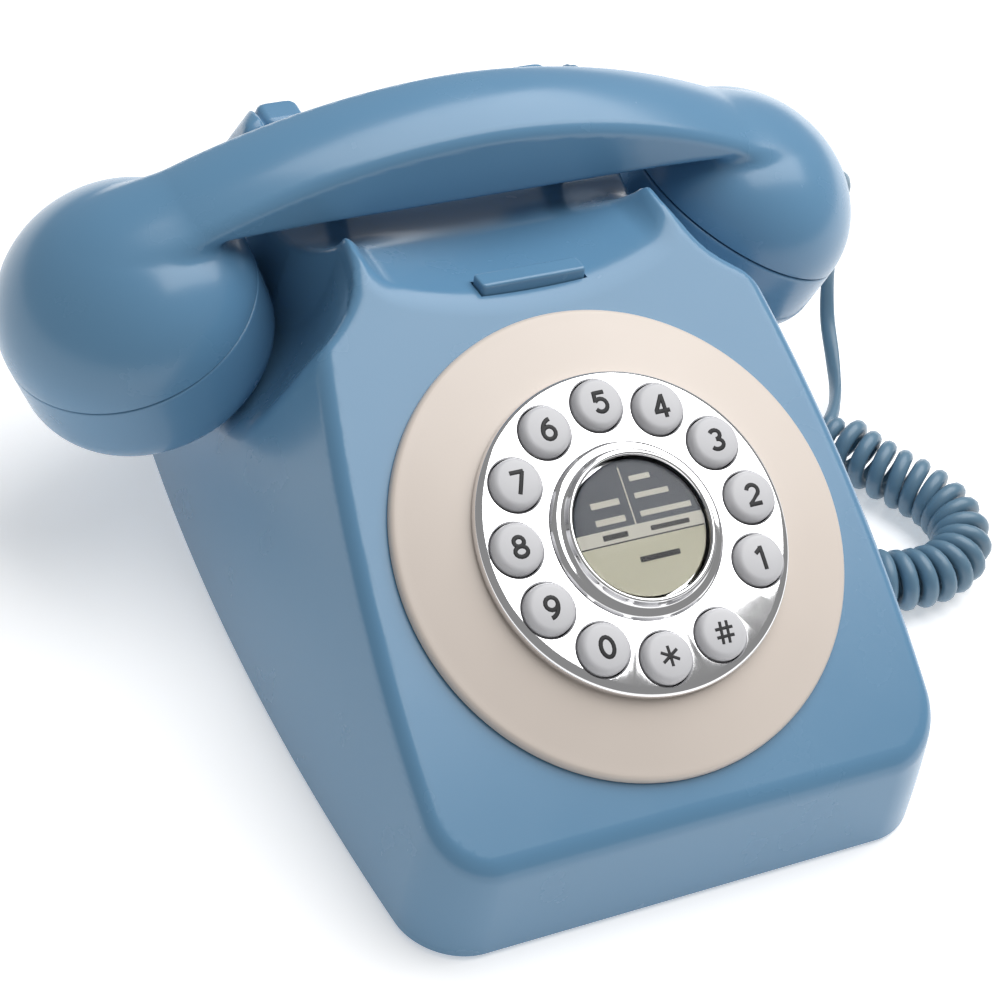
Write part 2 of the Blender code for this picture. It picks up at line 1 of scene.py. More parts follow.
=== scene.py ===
"""Desk telephone with a round push-button dial: the looks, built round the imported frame.

Lengths in the shape functions are in millimetres, with y measured back from the case's front, and are
turned into metres when a mesh is made.
"""
import math

import bmesh
import bpy
import numpy as np
from mathutils import Matrix, Vector

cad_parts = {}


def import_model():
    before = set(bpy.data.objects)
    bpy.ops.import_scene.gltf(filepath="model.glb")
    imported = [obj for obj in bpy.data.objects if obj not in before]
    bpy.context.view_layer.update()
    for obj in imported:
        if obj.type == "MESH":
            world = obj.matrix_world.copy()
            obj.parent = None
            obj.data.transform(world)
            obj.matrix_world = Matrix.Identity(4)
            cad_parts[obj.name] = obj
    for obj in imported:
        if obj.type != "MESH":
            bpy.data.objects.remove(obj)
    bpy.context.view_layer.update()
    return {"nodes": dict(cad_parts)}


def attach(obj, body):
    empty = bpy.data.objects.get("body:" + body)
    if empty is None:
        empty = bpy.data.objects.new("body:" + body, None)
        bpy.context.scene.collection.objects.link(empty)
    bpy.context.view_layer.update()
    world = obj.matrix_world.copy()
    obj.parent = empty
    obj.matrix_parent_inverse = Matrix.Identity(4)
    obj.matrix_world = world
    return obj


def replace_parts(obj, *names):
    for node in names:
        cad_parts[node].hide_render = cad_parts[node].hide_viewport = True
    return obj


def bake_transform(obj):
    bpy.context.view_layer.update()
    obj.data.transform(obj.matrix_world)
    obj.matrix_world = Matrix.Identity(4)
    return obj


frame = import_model()
MM = 0.001
FRONT = -105.0                       # world y of the case's front, in millimetres


# ---------------------------------------------------------------- helpers

def world(points):
    """Millimetres with y from the case's front, to metres in the frame."""
    points = np.array(points, float)
    points[..., 1] += FRONT
    return points * MM


def add_object(name, mesh, look, body=None, replaces=()):
    obj = bpy.data.objects.new(name, mesh)
    bpy.context.scene.collection.objects.link(obj)
    mesh.materials.clear()
    mesh.materials.append(look)
    if body:
        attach(obj, body)
    if replaces:
        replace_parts(obj, *replaces)
    return obj


def mesh_of(name, points, faces, smooth=True):
    mesh = bpy.data.meshes.new(name)
    mesh.from_pydata(np.asarray(points).tolist(), [], [list(f) for f in faces])
    mesh.validate()
    if smooth:
        mesh.polygons.foreach_set("use_smooth", [True] * len(mesh.polygons))
    mesh.update()
    return mesh


def smooth_max(a, b, r):
    """The greater of two distances, with a rounded edge of radius r where they meet."""
    u, v = np.maximum(a + r, 0), np.maximum(b + r, 0)
    return np.minimum(np.maximum(a, b), -r) + np.sqrt(u * u + v * v)


def smooth_min(a, b, r):
    return -smooth_max(-a, -b, r)


def surface_of(field, low, high, step):
    """The zero surface of a field over a box, by surface nets, pulled onto the surface afterwards."""
    axes = [np.arange(a, b + step, step) for a, b in zip(low, high)]
    values = field(*np.meshgrid(*axes, indexing="ij"))
    solid = values < 0
    size = np.array(values.shape) - 1
    corners = [(i, j, k) for i in (0, 1) for j in (0, 1) for k in (0, 1)]
    total = sum(
        solid[i:size[0] + i, j:size[1] + j, k:size[2] + k].astype(np.int8) for i, j, k in corners)
    cells = np.argwhere((total > 0) & (total < 8))
    index = np.full(tuple(size), -1)
    index[tuple(cells.T)] = np.arange(len(cells))
    at = {c: values[tuple((cells + c).T)] for c in corners}
    place, count = np.zeros((len(cells), 3)), np.zeros(len(cells))
    for a in corners:
        for axis in range(3):
            if a[axis]:
                continue
            b = tuple(v + (n == axis) for n, v in enumerate(a))
            cross = (at[a] < 0) != (at[b] < 0)
            share = np.where(cross, at[a] / np.where(cross, at[a] - at[b], 1), 0)
            spot = np.tile(np.array(a, float), (len(cells), 1))
            spot[:, axis] += share
            place += spot * cross[:, None]
            count += cross
    points = (cells + place / count[:, None]) * step + np.array(low)
    quads = []
    for axis in range(3):
        u, v = (axis + 1) % 3, (axis + 2) % 3
        here = [slice(None)] * 3
        there = [slice(None)] * 3
        here[axis], there[axis] = slice(0, -1), slice(1, None)
        edges = np.argwhere(solid[tuple(here)] != solid[tuple(there)])
        edges = edges[(edges[:, u] > 0) & (edges[:, v] > 0)]
        edges = edges[(edges[:, u] < size[u]) & (edges[:, v] < size[v])]
        outward = solid[tuple(edges.T)]
        ring = []
        for du, dv in ((-1, -1), (0, -1), (0, 0), (-1, 0)):
            cell = edges.copy()
            cell[:, u] += du
            cell[:, v] += dv
            ring.append(index[tuple(cell.T)])
        quad = np.stack(ring, 1)
        quad[~outward] = quad[~outward][:, ::-1]
        quads.append(quad)
    for _ in range(4):
        value, slope = slope_of(field, points)
        step_by = value[:, None] * slope / np.maximum((slope * slope).sum(1), 0.05)[:, None]
        points -= np.clip(step_by, -step, step)
    return points, np.concatenate(quads)


def slope_of(field, points, reach=0.02):
    """A field's value and its slope at each point."""
    value = field(*points.T)
    slope = np.zeros_like(points)
    for axis in range(3):
        ahead, behind = points.copy(), points.copy()
        ahead[:, axis] += reach
        behind[:, axis] -= reach
        slope[:, axis] = (field(*ahead.T) - field(*behind.T)) / (2 * reach)
    return value, slope


CUT_TURN, CUT_GAP = 0.5, 0.15        # a corner past either is on a cut face, and is shaded flat


def moulded(name, field, low, high, step, look, body, replaces, cuts):
    """A moulded piece from its field, with sharp holes cut by closed meshes and the field's own shading."""
    points, quads = surface_of(field, low, high, step)
    obj = add_object(name, mesh_of(name, world(points), quads), look)
    cut_by(obj, joined(cuts))
    mesh = obj.data
    spots = np.zeros(len(mesh.vertices) * 3)
    mesh.vertices.foreach_get("co", spots)
    spots = spots.reshape(-1, 3) / MM
    spots[:, 1] -= FRONT
    value, slope = slope_of(field, spots, 0.05)
    slope /= np.maximum(np.linalg.norm(slope, axis=1), 1e-9)[:, None]
    corner_of = np.zeros(len(mesh.loops), int)
    mesh.loops.foreach_get("vertex_index", corner_of)
    face_normals = np.zeros(len(mesh.polygons) * 3)
    mesh.polygons.foreach_get("normal", face_normals)
    sizes = np.zeros(len(mesh.polygons), int)
    mesh.polygons.foreach_get("loop_total", sizes)
    flat = np.repeat(face_normals.reshape(-1, 3), sizes, axis=0)
    shade = slope[corner_of]
    off = ((shade * flat).sum(1) < CUT_TURN) | (np.abs(value[corner_of]) > CUT_GAP)
    shade[off] = flat[off]
    mesh.polygons.foreach_set("use_smooth", [True] * len(mesh.polygons))
    mesh.normals_split_custom_set(shade.tolist())
    mesh.update()
    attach(obj, body)
    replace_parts(obj, *replaces)


def joined(meshes):
    """One object of several closed meshes, for cutting."""
    bm = bmesh.new()
    for mesh in meshes:
        bm.from_mesh(mesh)
    mesh = bpy.data.meshes.new("tool")
    bm.to_mesh(mesh)
    bm.free()
    tool = bpy.data.objects.new("tool", mesh)
    bpy.context.scene.collection.objects.link(tool)
    return tool


def cut_by(obj, tool):
    """Cuts obj by tool, keeps the result as its mesh and removes the tool."""
    modifier = obj.modifiers.new("cut", "BOOLEAN")
    modifier.solver = "EXACT"
    modifier.operation = "DIFFERENCE"
    modifier.object = tool
    apply_modifiers(obj)
    bpy.data.objects.remove(tool, do_unlink=True)


def apply_modifiers(obj):
    bpy.context.view_layer.update()
    graph = bpy.context.evaluated_depsgraph_get()
    mesh = bpy.data.meshes.new_from_object(obj.evaluated_get(graph))
    obj.modifiers.clear()
    obj.data = mesh


def lathe_mesh(name, profile, steps, frame_at=Matrix.Identity(4), closed=True, crease=30):
    """Turns a profile of (radius, height) in millimetres about Z; frame_at places it, in metres."""
    points, faces = [], []
    profile = [(float(r), float(z)) for r, z in profile]
    rings = []
    for r, z in profile:
        if r < 1e-6:
            rings.append([len(points)])
            points.append((0, 0, z))
        else:
            rings.append(list(range(len(points), len(points) + steps)))
            points += [(r * math.cos(a), r * math.sin(a), z)
                       for a in (2 * math.pi * i / steps for i in range(steps))]
    pairs = list(zip(rings, rings[1:])) + ([(rings[-1], rings[0])] if closed and len(rings[0]) > 1 else [])
    for a, b in pairs:
        for i in range(steps):
            j = (i + 1) % steps
            if len(a) == 1 and len(b) == 1:
                break
            if len(a) == 1:
                faces.append((a[0], b[i], b[j]))
            elif len(b) == 1:
                faces.append((a[i], b[0], a[j]))
            else:
                faces.append((a[i], b[i], b[j], a[j]))
    mesh = mesh_of(name, np.array(points) * MM, faces)
    mesh.transform(frame_at)
    bm = bmesh.new()
    bm.from_mesh(mesh)
    bmesh.ops.recalc_face_normals(bm, faces=bm.faces[:])
    bm.to_mesh(mesh)
    bm.free()
    mesh.set_sharp_from_angle(angle=math.radians(crease))
    return mesh


def drum(r, low, high, steps, frame_at):
    """A closed drum between two heights, for cutting."""
    return lathe_mesh("drum", [(0, low), (r, low), (r, high), (0, high)], steps, frame_at, closed=False)


def arc(cx, cz, r, start, end, count=6):
    """Points on a circle in a profile, from one angle to another in degrees."""
    return [(cx + r * math.cos(math.radians(start + (end - start) * i / count)),
             cz + r * math.sin(math.radians(start + (end - start) * i / count))) for i in range(count + 1)]


def box_of(lo, hi, frame_at=None):
    """A closed box mesh between two corners in millimetres: y from the case's front, or all in frame_at."""
    bm = bmesh.new()
    bmesh.ops.create_cube(bm, size=1)
    lo, hi = world([lo, hi]) if frame_at is None else np.array([lo, hi], float) * MM
    for v in bm.verts:
        v.co = Vector([lo[n] + (v.co[n] + 0.5) * (hi[n] - lo[n]) for n in range(3)])
    mesh = bpy.data.meshes.new("box")
    bm.to_mesh(mesh)
    bm.free()
    if frame_at is not None:
        mesh.transform(frame_at)
    return mesh


def placed(x, y, z):
    """A frame at a place in millimetres, y from the case's front."""
    return Matrix.Translation(Vector(world([x, y, z])))


def ellipsoid(u, v, w, radii):
    """About the distance to an ellipsoid's surface, from its middle's coordinates: negative inside."""
    u, v, w = u / radii[0], v / radii[1], w / radii[2]
    length = np.sqrt(u * u + v * v + w * w)
    pull = np.sqrt((u / radii[0]) ** 2 + (v / radii[1]) ** 2 + (w / radii[2]) ** 2)
    return length * (length - 1) / np.maximum(pull, 1e-6)


def spline(route, spacing):
    """Points every spacing or so along a Catmull-Rom curve through a route."""
    route = [Vector(p) for p in route]
    ends = [2 * route[0] - route[1], *route, 2 * route[-1] - route[-2]]
    path = [route[0]]
    for a, b, c, d in zip(ends, ends[1:], ends[2:], ends[3:]):
        count = max(1, round((c - b).length / spacing))
        for i in range(1, count + 1):
            t = i / count
            path.append(0.5 * (2 * b + (c - a) * t + (2 * a - 5 * b + 4 * c - d) * t * t
                               + (3 * b - a - 3 * c + d) * t ** 3))
    return np.array(path)


# ---------------------------------------------------------------- materials

def shader_of(name, colour, roughness, metallic=0.0, **sockets):
    material = bpy.data.materials.new(name)
    material.use_nodes = True
    shader = material.node_tree.nodes["Principled BSDF"]
    shader.inputs["Base Color"].default_value = (*colour, 1)
    shader.inputs["Roughness"].default_value = roughness
    shader.inputs["Metallic"].default_value = metallic
    for socket, value in sockets.items():
        shader.inputs[socket.replace("_", " ")].default_value = value
    return material, material.node_tree, shader


def add_noise(tree, scale, detail=3.0):
    """Noise in the object's own coordinates."""
    where = tree.nodes.new("ShaderNodeTexCoord")
    noise = tree.nodes.new("ShaderNodeTexNoise")
    noise.inputs["Scale"].default_value = scale
    noise.inputs["Detail"].default_value = detail
    tree.links.new(where.outputs["Object"], noise.inputs["Vector"])
    return noise


def add_range(tree, source, low, high):
    """Noise's middle stretch, spread between two values."""
    spread = tree.nodes.new("ShaderNodeMapRange")
    spread.inputs["From Min"].default_value = 0.3
    spread.inputs["From Max"].default_value = 0.7
    spread.inputs["To Min"].default_value = low
    spread.inputs["To Max"].default_value = high
    tree.links.new(source, spread.inputs["Value"])
    return spread.outputs["Result"]


def add_bump(tree, shader, source, strength, distance):
    bump = tree.nodes.new("ShaderNodeBump")
    bump.inputs["Strength"].default_value = strength
    bump.inputs["Distance"].default_value = distance
    tree.links.new(source, bump.inputs["Height"])
    tree.links.new(bump.outputs["Normal"], shader.inputs["Normal"])


def tint(tree, shader, source, dark, light):
    ramp = tree.nodes.new("ShaderNodeValToRGB")
    ramp.color_ramp.elements[0].position, ramp.color_ramp.elements[1].position = 0.3, 0.7
    ramp.color_ramp.elements[0].color = (*dark, 1)
    ramp.color_ramp.elements[1].color = (*light, 1)
    tree.links.new(source, ramp.inputs["Fac"])
    tree.links.new(ramp.outputs["Color"], shader.inputs["Base Color"])


def plastic(name, colour, roughness, spread=0.03, grain=900.0, depth=0.15, coat=0.0, **more):
    """Moulded plastic: slight colour drift, uneven gloss and a fine moulded skin."""
    material, tree, shader = shader_of(
        name, colour, roughness, **{"Coat_Weight": coat, "Coat_Roughness": 0.12, **more})
    drift = add_noise(tree, 14.0, 4.0)
    tint(tree, shader, drift.outputs["Fac"], [c * (1 - spread) for c in colour],
         [min(1, c * (1 + spread)) for c in colour])
    gloss = add_noise(tree, 55.0, 5.0)
    tree.links.new(
        add_range(tree, gloss.outputs["Fac"], roughness * 0.88, roughness * 1.14), shader.inputs["Roughness"])
    skin = add_noise(tree, grain, 2.0)
    add_bump(tree, shader, skin.outputs["Fac"], depth, 0.00004)
    return material


def chrome(name, colour=(0.86, 0.86, 0.87), roughness=0.05):
    """Bright plating with faint hairlines."""
    material, tree, shader = shader_of(name, colour, roughness, 1.0)
    smear = add_noise(tree, 90.0, 6.0)
    tree.links.new(
        add_range(tree, smear.outputs["Fac"], roughness * 0.7, roughness * 1.6), shader.inputs["Roughness"])
    fine = add_noise(tree, 700.0, 2.0)
    add_bump(tree, shader, fine.outputs["Fac"], 0.04, 0.00002)
    return material


BLUE = plastic("blue_plastic", (0.120, 0.268, 0.430), 0.25, 0.012, coat=0.12)
CREAM = plastic("cream_plastic", (0.70, 0.62, 0.555), 0.38, 0.015, 1200.0, 0.2)
CHROME = chrome("bright_chrome")
GREY = plastic("key_plastic", (0.60, 0.60, 0.62), 0.36, 0.02, 1400.0, 0.25)
INK = plastic("digit_ink", (0.012, 0.012, 0.014), 0.6, 0.1)
DARK = plastic("dark_plastic", (0.03, 0.032, 0.036), 0.45, 0.15, 700.0, 0.5)
RUBBER = plastic("foot_rubber", (0.025, 0.025, 0.027), 0.75, 0.2, 500.0, 0.8)
CORD = plastic("cord_plastic", (0.118, 0.215, 0.30), 0.34, 0.04, 700.0, 0.3, coat=0.1)
SLATE = plastic("card_slate", (0.06, 0.07, 0.09), 0.5, 0.03)
CARD = plastic("card_cream", (0.58, 0.56, 0.42), 0.5, 0.02)
RULE = plastic("card_rule", (0.62, 0.60, 0.52), 0.5, 0.02)
STEEL = chrome("plated_steel", (0.55, 0.55, 0.56), 0.3)
BOARD = plastic("board_green", (0.03, 0.14, 0.06), 0.4, 0.25, 300.0, 0.5)


def clear_plastic():
    material, tree, shader = shader_of(
        "clear_lens", (1, 1, 1), 0.03, Transmission_Weight=1.0, IOR=1.2)
    scuff = add_noise(tree, 200.0, 4.0)
    tree.links.new(add_range(tree, scuff.outputs["Fac"], 0.01, 0.06), shader.inputs["Roughness"])
    return material


CLEAR = clear_plastic()

# ---------------------------------------------------------------- camera

camera = bpy.data.cameras.new("camera")
camera_object = bpy.data.objects.new("camera", camera)
bpy.context.scene.collection.objects.link(camera_object)
camera.sensor_width = 36.0
camera.lens = 103.2
camera.clip_start = 0.05
right = Vector((0.8879023, -0.4242913, 0.1777821))
up = Vector((0.1930063, 0.6943757, 0.6932467))
back = Vector((-0.4175861, -0.5812223, 0.6984286))
turn = Matrix((right, up, back)).transposed().to_4x4()
camera_object.matrix_world = Matrix.Translation((-0.30105, -0.41225, 0.52609)) @ turn
bpy.context.scene.camera = camera_object

# ---------------------------------------------------------------- cord

WIRE = 4.4
COIL_RADIUS = 6.0
COIL_Z = 8.6
GLAND_ROOT = Vector((113.8, 166, 62.9))
GLAND_TIP = Vector((122.8, 168.2, 59))
GLAND_WAY = (GLAND_TIP - GLAND_ROOT).normalized()
LEAD_ROUTE = [
    GLAND_TIP + 0.4 * GLAND_WAY, GLAND_TIP + 2.2 * GLAND_WAY, (128.2, 169.2, 53.8), (128.8, 168.8, 41.4),
    (128.8, 166, 26), (128, 159.5, 14.5), (125.2, 149, 9), (121, 139, 7), (116, 131.5, 7.6),
    (111.4, 126.4, 8.4)]
COIL_ROUTE = [(x, y, COIL_Z) for x, y in (
    (108.4, 123.4), (110.6, 116.6), (113.6, 109.6), (117.4, 103), (121.6, 96.6), (124.8, 89), (125, 80.6),
    (121.4, 73.4), (114.4, 69), (105.8, 67.6), (96.8, 68.8), (89.2, 72.6), (85.6, 80), (84.8, 92),
    (84.8, 106), (84.8, 124), (84.8, 144), (84.6, 164), (84, 184), (82.8, 200), (78.4, 212.6),
    (69.4, 219.8), (59, 221.6))]
BASE_ROUTE = [(58, 221.7, COIL_Z), (52.4, 222, 10), (46.6, 219, 12), (45, 213.8, 13)]


def along(path):
    """The distance along a path at each of its points."""
    return np.concatenate([[0], np.cumsum(np.linalg.norm(np.diff(path, axis=0), axis=1))])


def carried(path, first):
    """Tangents, and two sideways directions carried along the path with no twist."""
    tangent = np.gradient(path, axis=0)
    tangent /= np.linalg.norm(tangent, axis=1)[:, None]
    side = np.array(first, float)
    sides = []
    for t in tangent:
        side = side - t * side.dot(t)
        side /= np.linalg.norm(side)
        sides.append(side)
    sides = np.array(sides)
    return tangent, sides, np.cross(tangent, sides)


def coil_centreline(turns_tight=50.5, per_turn=20):
    """A helix round the coil's route, looser near the handset's lead."""
    axis = spline(COIL_ROUTE, 0.5)
    far = along(axis)
    _, side, other = carried(axis, (0, 0, 1))
    share = np.linspace(0, 1, 3000)
    loose = 1 / (1 + 0.1 * np.exp(-((share * far[-1] - 8) / 20) ** 2))
    angle = np.concatenate([[0], np.cumsum((loose[1:] + loose[:-1]) / 2)])
    angle *= turns_tight * 2 * math.pi / angle[-1]
    count = int(turns_tight * per_turn)
    even = np.interp(np.linspace(0, angle[-1], count), angle, share) * far[-1]
    turn = np.linspace(0, angle[-1], count)
    centre = np.stack([np.interp(even, far, axis[:, n]) for n in range(3)], 1)
    u = np.stack([np.interp(even, far, side[:, n]) for n in range(3)], 1)
    v = np.stack([np.interp(even, far, other[:, n]) for n in range(3)], 1)
    ease = np.clip(np.minimum(even / 7, (far[-1] - even) / 7), 0, 1)
    radius = COIL_RADIUS * np.sin(ease * math.pi / 2) ** 0.8
    start = math.radians(200)
    return centre + radius[:, None] * (np.cos(turn + start)[:, None] * u + np.sin(turn + start)[:, None] * v)


def make_cord():
    """The lead from the handset, the coil and the lead to the rear socket, as one cord."""
    lead = spline(LEAD_ROUTE, 2.0)
    coil = coil_centreline()
    base = spline(BASE_ROUTE, 2.0)
    path = np.concatenate([lead, coil, base[1:]])
    gone = along(path)
    keep = np.concatenate([[True], np.diff(gone) > 0.3])
    path = path[keep]
    gone = along(path)
    lead_end = along(lead)[-1]
    tangent, side, other = carried(path, (0, 1, 0))
    sides = 10
    rings = []
    for p, s, u, v in zip(path, gone, side, other):
        flat = float(np.clip((lead_end + 4 - s) / 24, 0, 1))
        wide, thin = WIRE / 2 * (1 - 0.06 * flat), WIRE / 2 * (1 - 0.56 * flat)
        twist = math.radians(20 + 165 * np.clip(s / (lead_end * 0.9), 0, 1))
        for i in range(sides):
            a = 2 * math.pi * i / sides
            x, y = wide * math.cos(a), thin * math.sin(a)
            rings.append(p + (x * math.cos(twist) - y * math.sin(twist)) * u
                         + (x * math.sin(twist) + y * math.cos(twist)) * v)
    faces = []
    for n in range(len(path) - 1):
        for i in range(sides):
            j = (i + 1) % sides
            faces.append((n * sides + i, n * sides + j, (n + 1) * sides + j, (n + 1) * sides + i))
    faces.append(tuple(range(sides))[::-1])
    faces.append(tuple((len(path) - 1) * sides + i for i in range(sides)))
    obj = add_object("handset_cord", mesh_of("handset_cord", world(rings), faces), CORD)
    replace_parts(obj, "handset_lead", "cord_coil", "base_lead")
    world([GLAND_TIP])[0]
    world(path).tolist()
    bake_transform(obj)
    print("cord length", round(float(gone[-1]), 1))


make_cord()

# ---------------------------------------------------------------- case

SLOPE = math.radians(27)             # the panel's, round the dial's middle
DIAL_MIDDLE = (0, 61.3, 59.3)
HALF_WIDTH, WIDEST_AT, SIDE_BULGE, WALL_DRAFT = 73.8, 92, 0.00075, 0.0021
LIP_TOP, LIP_DRAFT = 29.0, 1.8
DEPTH, REAR_DRAFT = 210, 0.0014
CASE_TOP, CASE_FOOT, WALL = 94, 1.4, 2.6
FRONT_CORNER, REAR_CORNER, TOP_EDGE, PANEL_TOP_EDGE = 14.3, 17, 3.2, 3.0

TROUGH_FALL = math.radians(10)
TROUGH_AT, TROUGH_RADIUS = (117, 87.7), 155
FLARE_FROM, FLARE_OUTSIDE = (122, 140), 33
VALLEY_AT, VALLEY_RADIUS = (163, 100.4), 22
SCOOP_AT, SCOOP_RADII = (100, 163.5, 84.4), (61.8, 54.6, 54.6)
NECK_AT, NECK_RADII, NECK_LEAN = (85, 140, 88), (42.5, 36), 0.459

HORN_AT = (34.7, 194, 88.9)
HORN_ROOT = 74

DIAL = placed(*DIAL_MIDDLE) @ Matrix.Rotation(SLOPE, 4, "X")
BAR = placed(0, 122.9, 87.2) @ Matrix.Rotation(-TROUGH_FALL, 4, "X")


def case_body(x, y, z, inset=0.0):
    """The wedge before its cradle is cut: walls, corners and sloping panel."""
    half = HALF_WIDTH - SIDE_BULGE * (y - WIDEST_AT) ** 2 - WALL_DRAFT * z ** 2
    side = (np.abs(x) - half) * 0.985 + inset
    front = (LIP_DRAFT * z / LIP_TOP - y) * 0.998 + inset
    rear = y - (DEPTH - REAR_DRAFT * z ** 2) + inset
    panel = -math.sin(SLOPE) * (y - DIAL_MIDDLE[1]) + math.cos(SLOPE) * (z - DIAL_MIDDLE[2]) + inset
    ends = smooth_max(side, front, FRONT_CORNER - inset)
    ends = smooth_max(ends, rear, REAR_CORNER - inset)
    shape = smooth_max(panel, z - CASE_TOP + inset, PANEL_TOP_EDGE)
    return smooth_max(ends, shape, max(TOP_EDGE - inset * 0.5, 1.0))


def trough_field(x, y, z, grow):
    """A wide dish that falls to the rear, with sides that steepen towards the front horns' tips."""
    fall_sin, fall_cos = math.sin(TROUGH_FALL), math.cos(TROUGH_FALL)
    middle_y, middle_z = TROUGH_AT[0] + TROUGH_RADIUS * fall_sin, TROUGH_AT[1] + TROUGH_RADIUS * fall_cos
    rise = (y - middle_y) * fall_sin + (z - middle_z) * fall_cos
    start, end = FLARE_FROM
    flare = 0.016 + 0.08 * np.clip((y - start) / (end - start), 0, 1)
    dish = np.sqrt(x ** 2 + rise ** 2) - TROUGH_RADIUS
    return dish + flare * np.maximum(np.abs(x) - FLARE_OUTSIDE, 0) ** 2 - 2 * grow


def scoop_field(x, y, z, grow):
    """The hollow beside the cradle for a cap, kept clear of the plungers."""
    across = np.abs(x)
    hollow = ellipsoid(across - SCOOP_AT[0], y - SCOOP_AT[1], z - SCOOP_AT[2], np.array(SCOOP_RADII) + grow)
    innermost = 42 + 8 * np.clip((y - 142) / 14, 0, 1)
    return smooth_max(hollow, innermost - grow - across, 3.0)


def neck_field(x, y, z, grow):
    """The leaning hollow that carries the scoop forward into the panel's upper corner."""
    across, drop = np.abs(x), NECK_AT[2] - z
    wide = NECK_RADII[0] - 0.33 * np.maximum(drop, 0)
    forward = (y - NECK_AT[1] - NECK_LEAN * drop) / NECK_RADII[1]
    column = np.sqrt(((across - NECK_AT[0]) / wide) ** 2 + forward ** 2) - 1
    floor_z = 33 + 0.6 * (NECK_AT[0] - across)
    return smooth_max(column * 29, floor_z - z, 8.0) - 1.7 * grow


def cradle(x, y, z, grow=0.0):
    """The trough, the valley and the scoops, as one hollow form: negative inside it."""
    valley = np.sqrt((y - VALLEY_AT[0]) ** 2 + (z - VALLEY_AT[1]) ** 2) - VALLEY_RADIUS - grow
    scoop = smooth_min(scoop_field(x, y, z, grow), neck_field(x, y, z, grow), 6.0)
    return smooth_min(smooth_min(trough_field(x, y, z, grow), valley, 3.0), scoop, 2.0)


def rear_horns(x, y, z):
    """Two tabs that stand up behind the handset."""
    horn_x, horn_y, horn_top = HORN_AT
    drop = np.clip(horn_top - z, -6, 40)
    spread = 0.13 * drop + 0.006 * drop ** 2
    inner = (horn_x - np.abs(x)) - (5.2 + 0.45 * spread)
    outer = (np.abs(x) - horn_x) - (5.6 + spread)
    front = (horn_y - y) - (4.2 + 0.5 * spread)
    behind = (y - horn_y) - (4.4 + 0.5 * spread)
    plan = smooth_max(smooth_max(inner, outer, 2.5), smooth_max(front, behind, 2.5), 2.5)
    return smooth_max(plan, z - horn_top, 1.8) * 0.93


def case_field(x, y, z):
    """The case as a shell, open below: it runs on under its foot, where it is cut level."""
    outer = smooth_max(case_body(x, y, z), -cradle(x, y, z), 2.6)
    horns = np.maximum(rear_horns(x, y, z), HORN_ROOT - z)
    outer = smooth_min(outer, horns, 2.5)
    inner = np.maximum(case_body(x, y, z, WALL), -cradle(x, y, z, WALL))
    inner = np.maximum(inner, -(horns + 30))
    return np.maximum(np.maximum(outer, -inner), -1.5 - z)


def make_recall_bar():
    """The bar in the trough: a slab with rounded edges, square to the trough's floor."""
    def bar_field(x, y, z):
        side = smooth_max(np.abs(x) - 13.9, np.abs(y) - 2.8, 1.0)
        return smooth_max(smooth_max(side, z - 2.5, 0.7), -3.9 - z, 0.5)
    points, quads = surface_of(bar_field, (-15, -4, -5), (15, 4, 4), 0.35)
    mesh = mesh_of("bar", points * MM, quads)
    mesh.transform(BAR)
    mesh.set_sharp_from_angle(angle=math.radians(40))
    add_object("recall_key", mesh, BLUE, "recall", ["recall_bar"])


def make_case():
    """The case, with openings for the dial, the plungers, the bar, two sockets and the ringer switch."""
    cuts = [
        drum(47.5, -9, 9, 96, DIAL),
        drum(3.1, 66, 96, 32, placed(-30, 166, 0)),
        drum(3.1, 66, 96, 32, placed(30, 166, 0)),
        box_of((-14.2, -3.1, -7), (14.2, 3.1, 7), BAR),
        box_of((-90, -10, -9), (90, 230, CASE_FOOT)),
        box_of((-36.6, 200, 7.4), (-23.4, 214, 18.6)),
        box_of((38.9, 200, 7.9), (51.1, 214, 18.1)),
        box_of((-1.3, 200, 13.7), (11.3, 214, 18.3))]
    moulded("case_cover", case_field, (-77, -2.5, -3.75), (77, 213, 99), 1.25, BLUE, "base",
            ["case_shell"], cuts)


make_case()
make_recall_bar()

# ---------------------------------------------------------------- handset

CAP_MIDDLE = (84.8, 161.5, 64.0)     # of the seam between bulb and cap
CAP_TILT = math.radians(24.5)
CAP_RADIUS, BULB_HEIGHT, SEAM = 32.2, 27.4, 0.25
HANDLE_TOP, HANDLE_UNDER, HANDLE_HALF, HANDLE_ARCH, HANDLE_EDGE = 113.0, 91.0, 13.2, 0.0029, 2.6


def bulb(x, y, z):
    """The dome over each cap, as a whole ball cut at the seam afterwards."""
    along_x, up_z = np.abs(x) - CAP_MIDDLE[0], z - CAP_MIDDLE[2]
    c, s = math.cos(CAP_TILT), math.sin(CAP_TILT)
    return ellipsoid(along_x * c - up_z * s, y - CAP_MIDDLE[1], along_x * s + up_z * c,
                     (CAP_RADIUS, CAP_RADIUS, BULB_HEIGHT))


def handle(x, y, z):
    """The arched bar between the bulbs, crowned across its top."""
    v = y - CAP_MIDDLE[1]
    reach = np.maximum(np.abs(x) - 40, 0)
    top = HANDLE_TOP - HANDLE_ARCH * x ** 2 - (0.016 + 0.00006 * np.abs(x)) * v ** 2
    under = HANDLE_UNDER - 0.0009 * reach ** 2
    side = np.abs(v) - HANDLE_HALF + 0.02 * (z - 100)
    shape = smooth_max(smooth_max(side, z - top, HANDLE_EDGE), under - z, HANDLE_EDGE)
    return np.maximum(shape, np.abs(x) - 100)


def handset_field(x, y, z):
    dome = bulb(x, y, z)
    outer = smooth_min(dome, handle(x, y, z), 4.5)
    hollow = np.minimum(dome + 2.6, handle(x, y, z) + 2.8)
    return np.maximum(outer, -hollow)


def cap_frame(side):
    return placed(side * CAP_MIDDLE[0], *CAP_MIDDLE[1:]) @ Matrix.Rotation(side * CAP_TILT, 4, "Y")


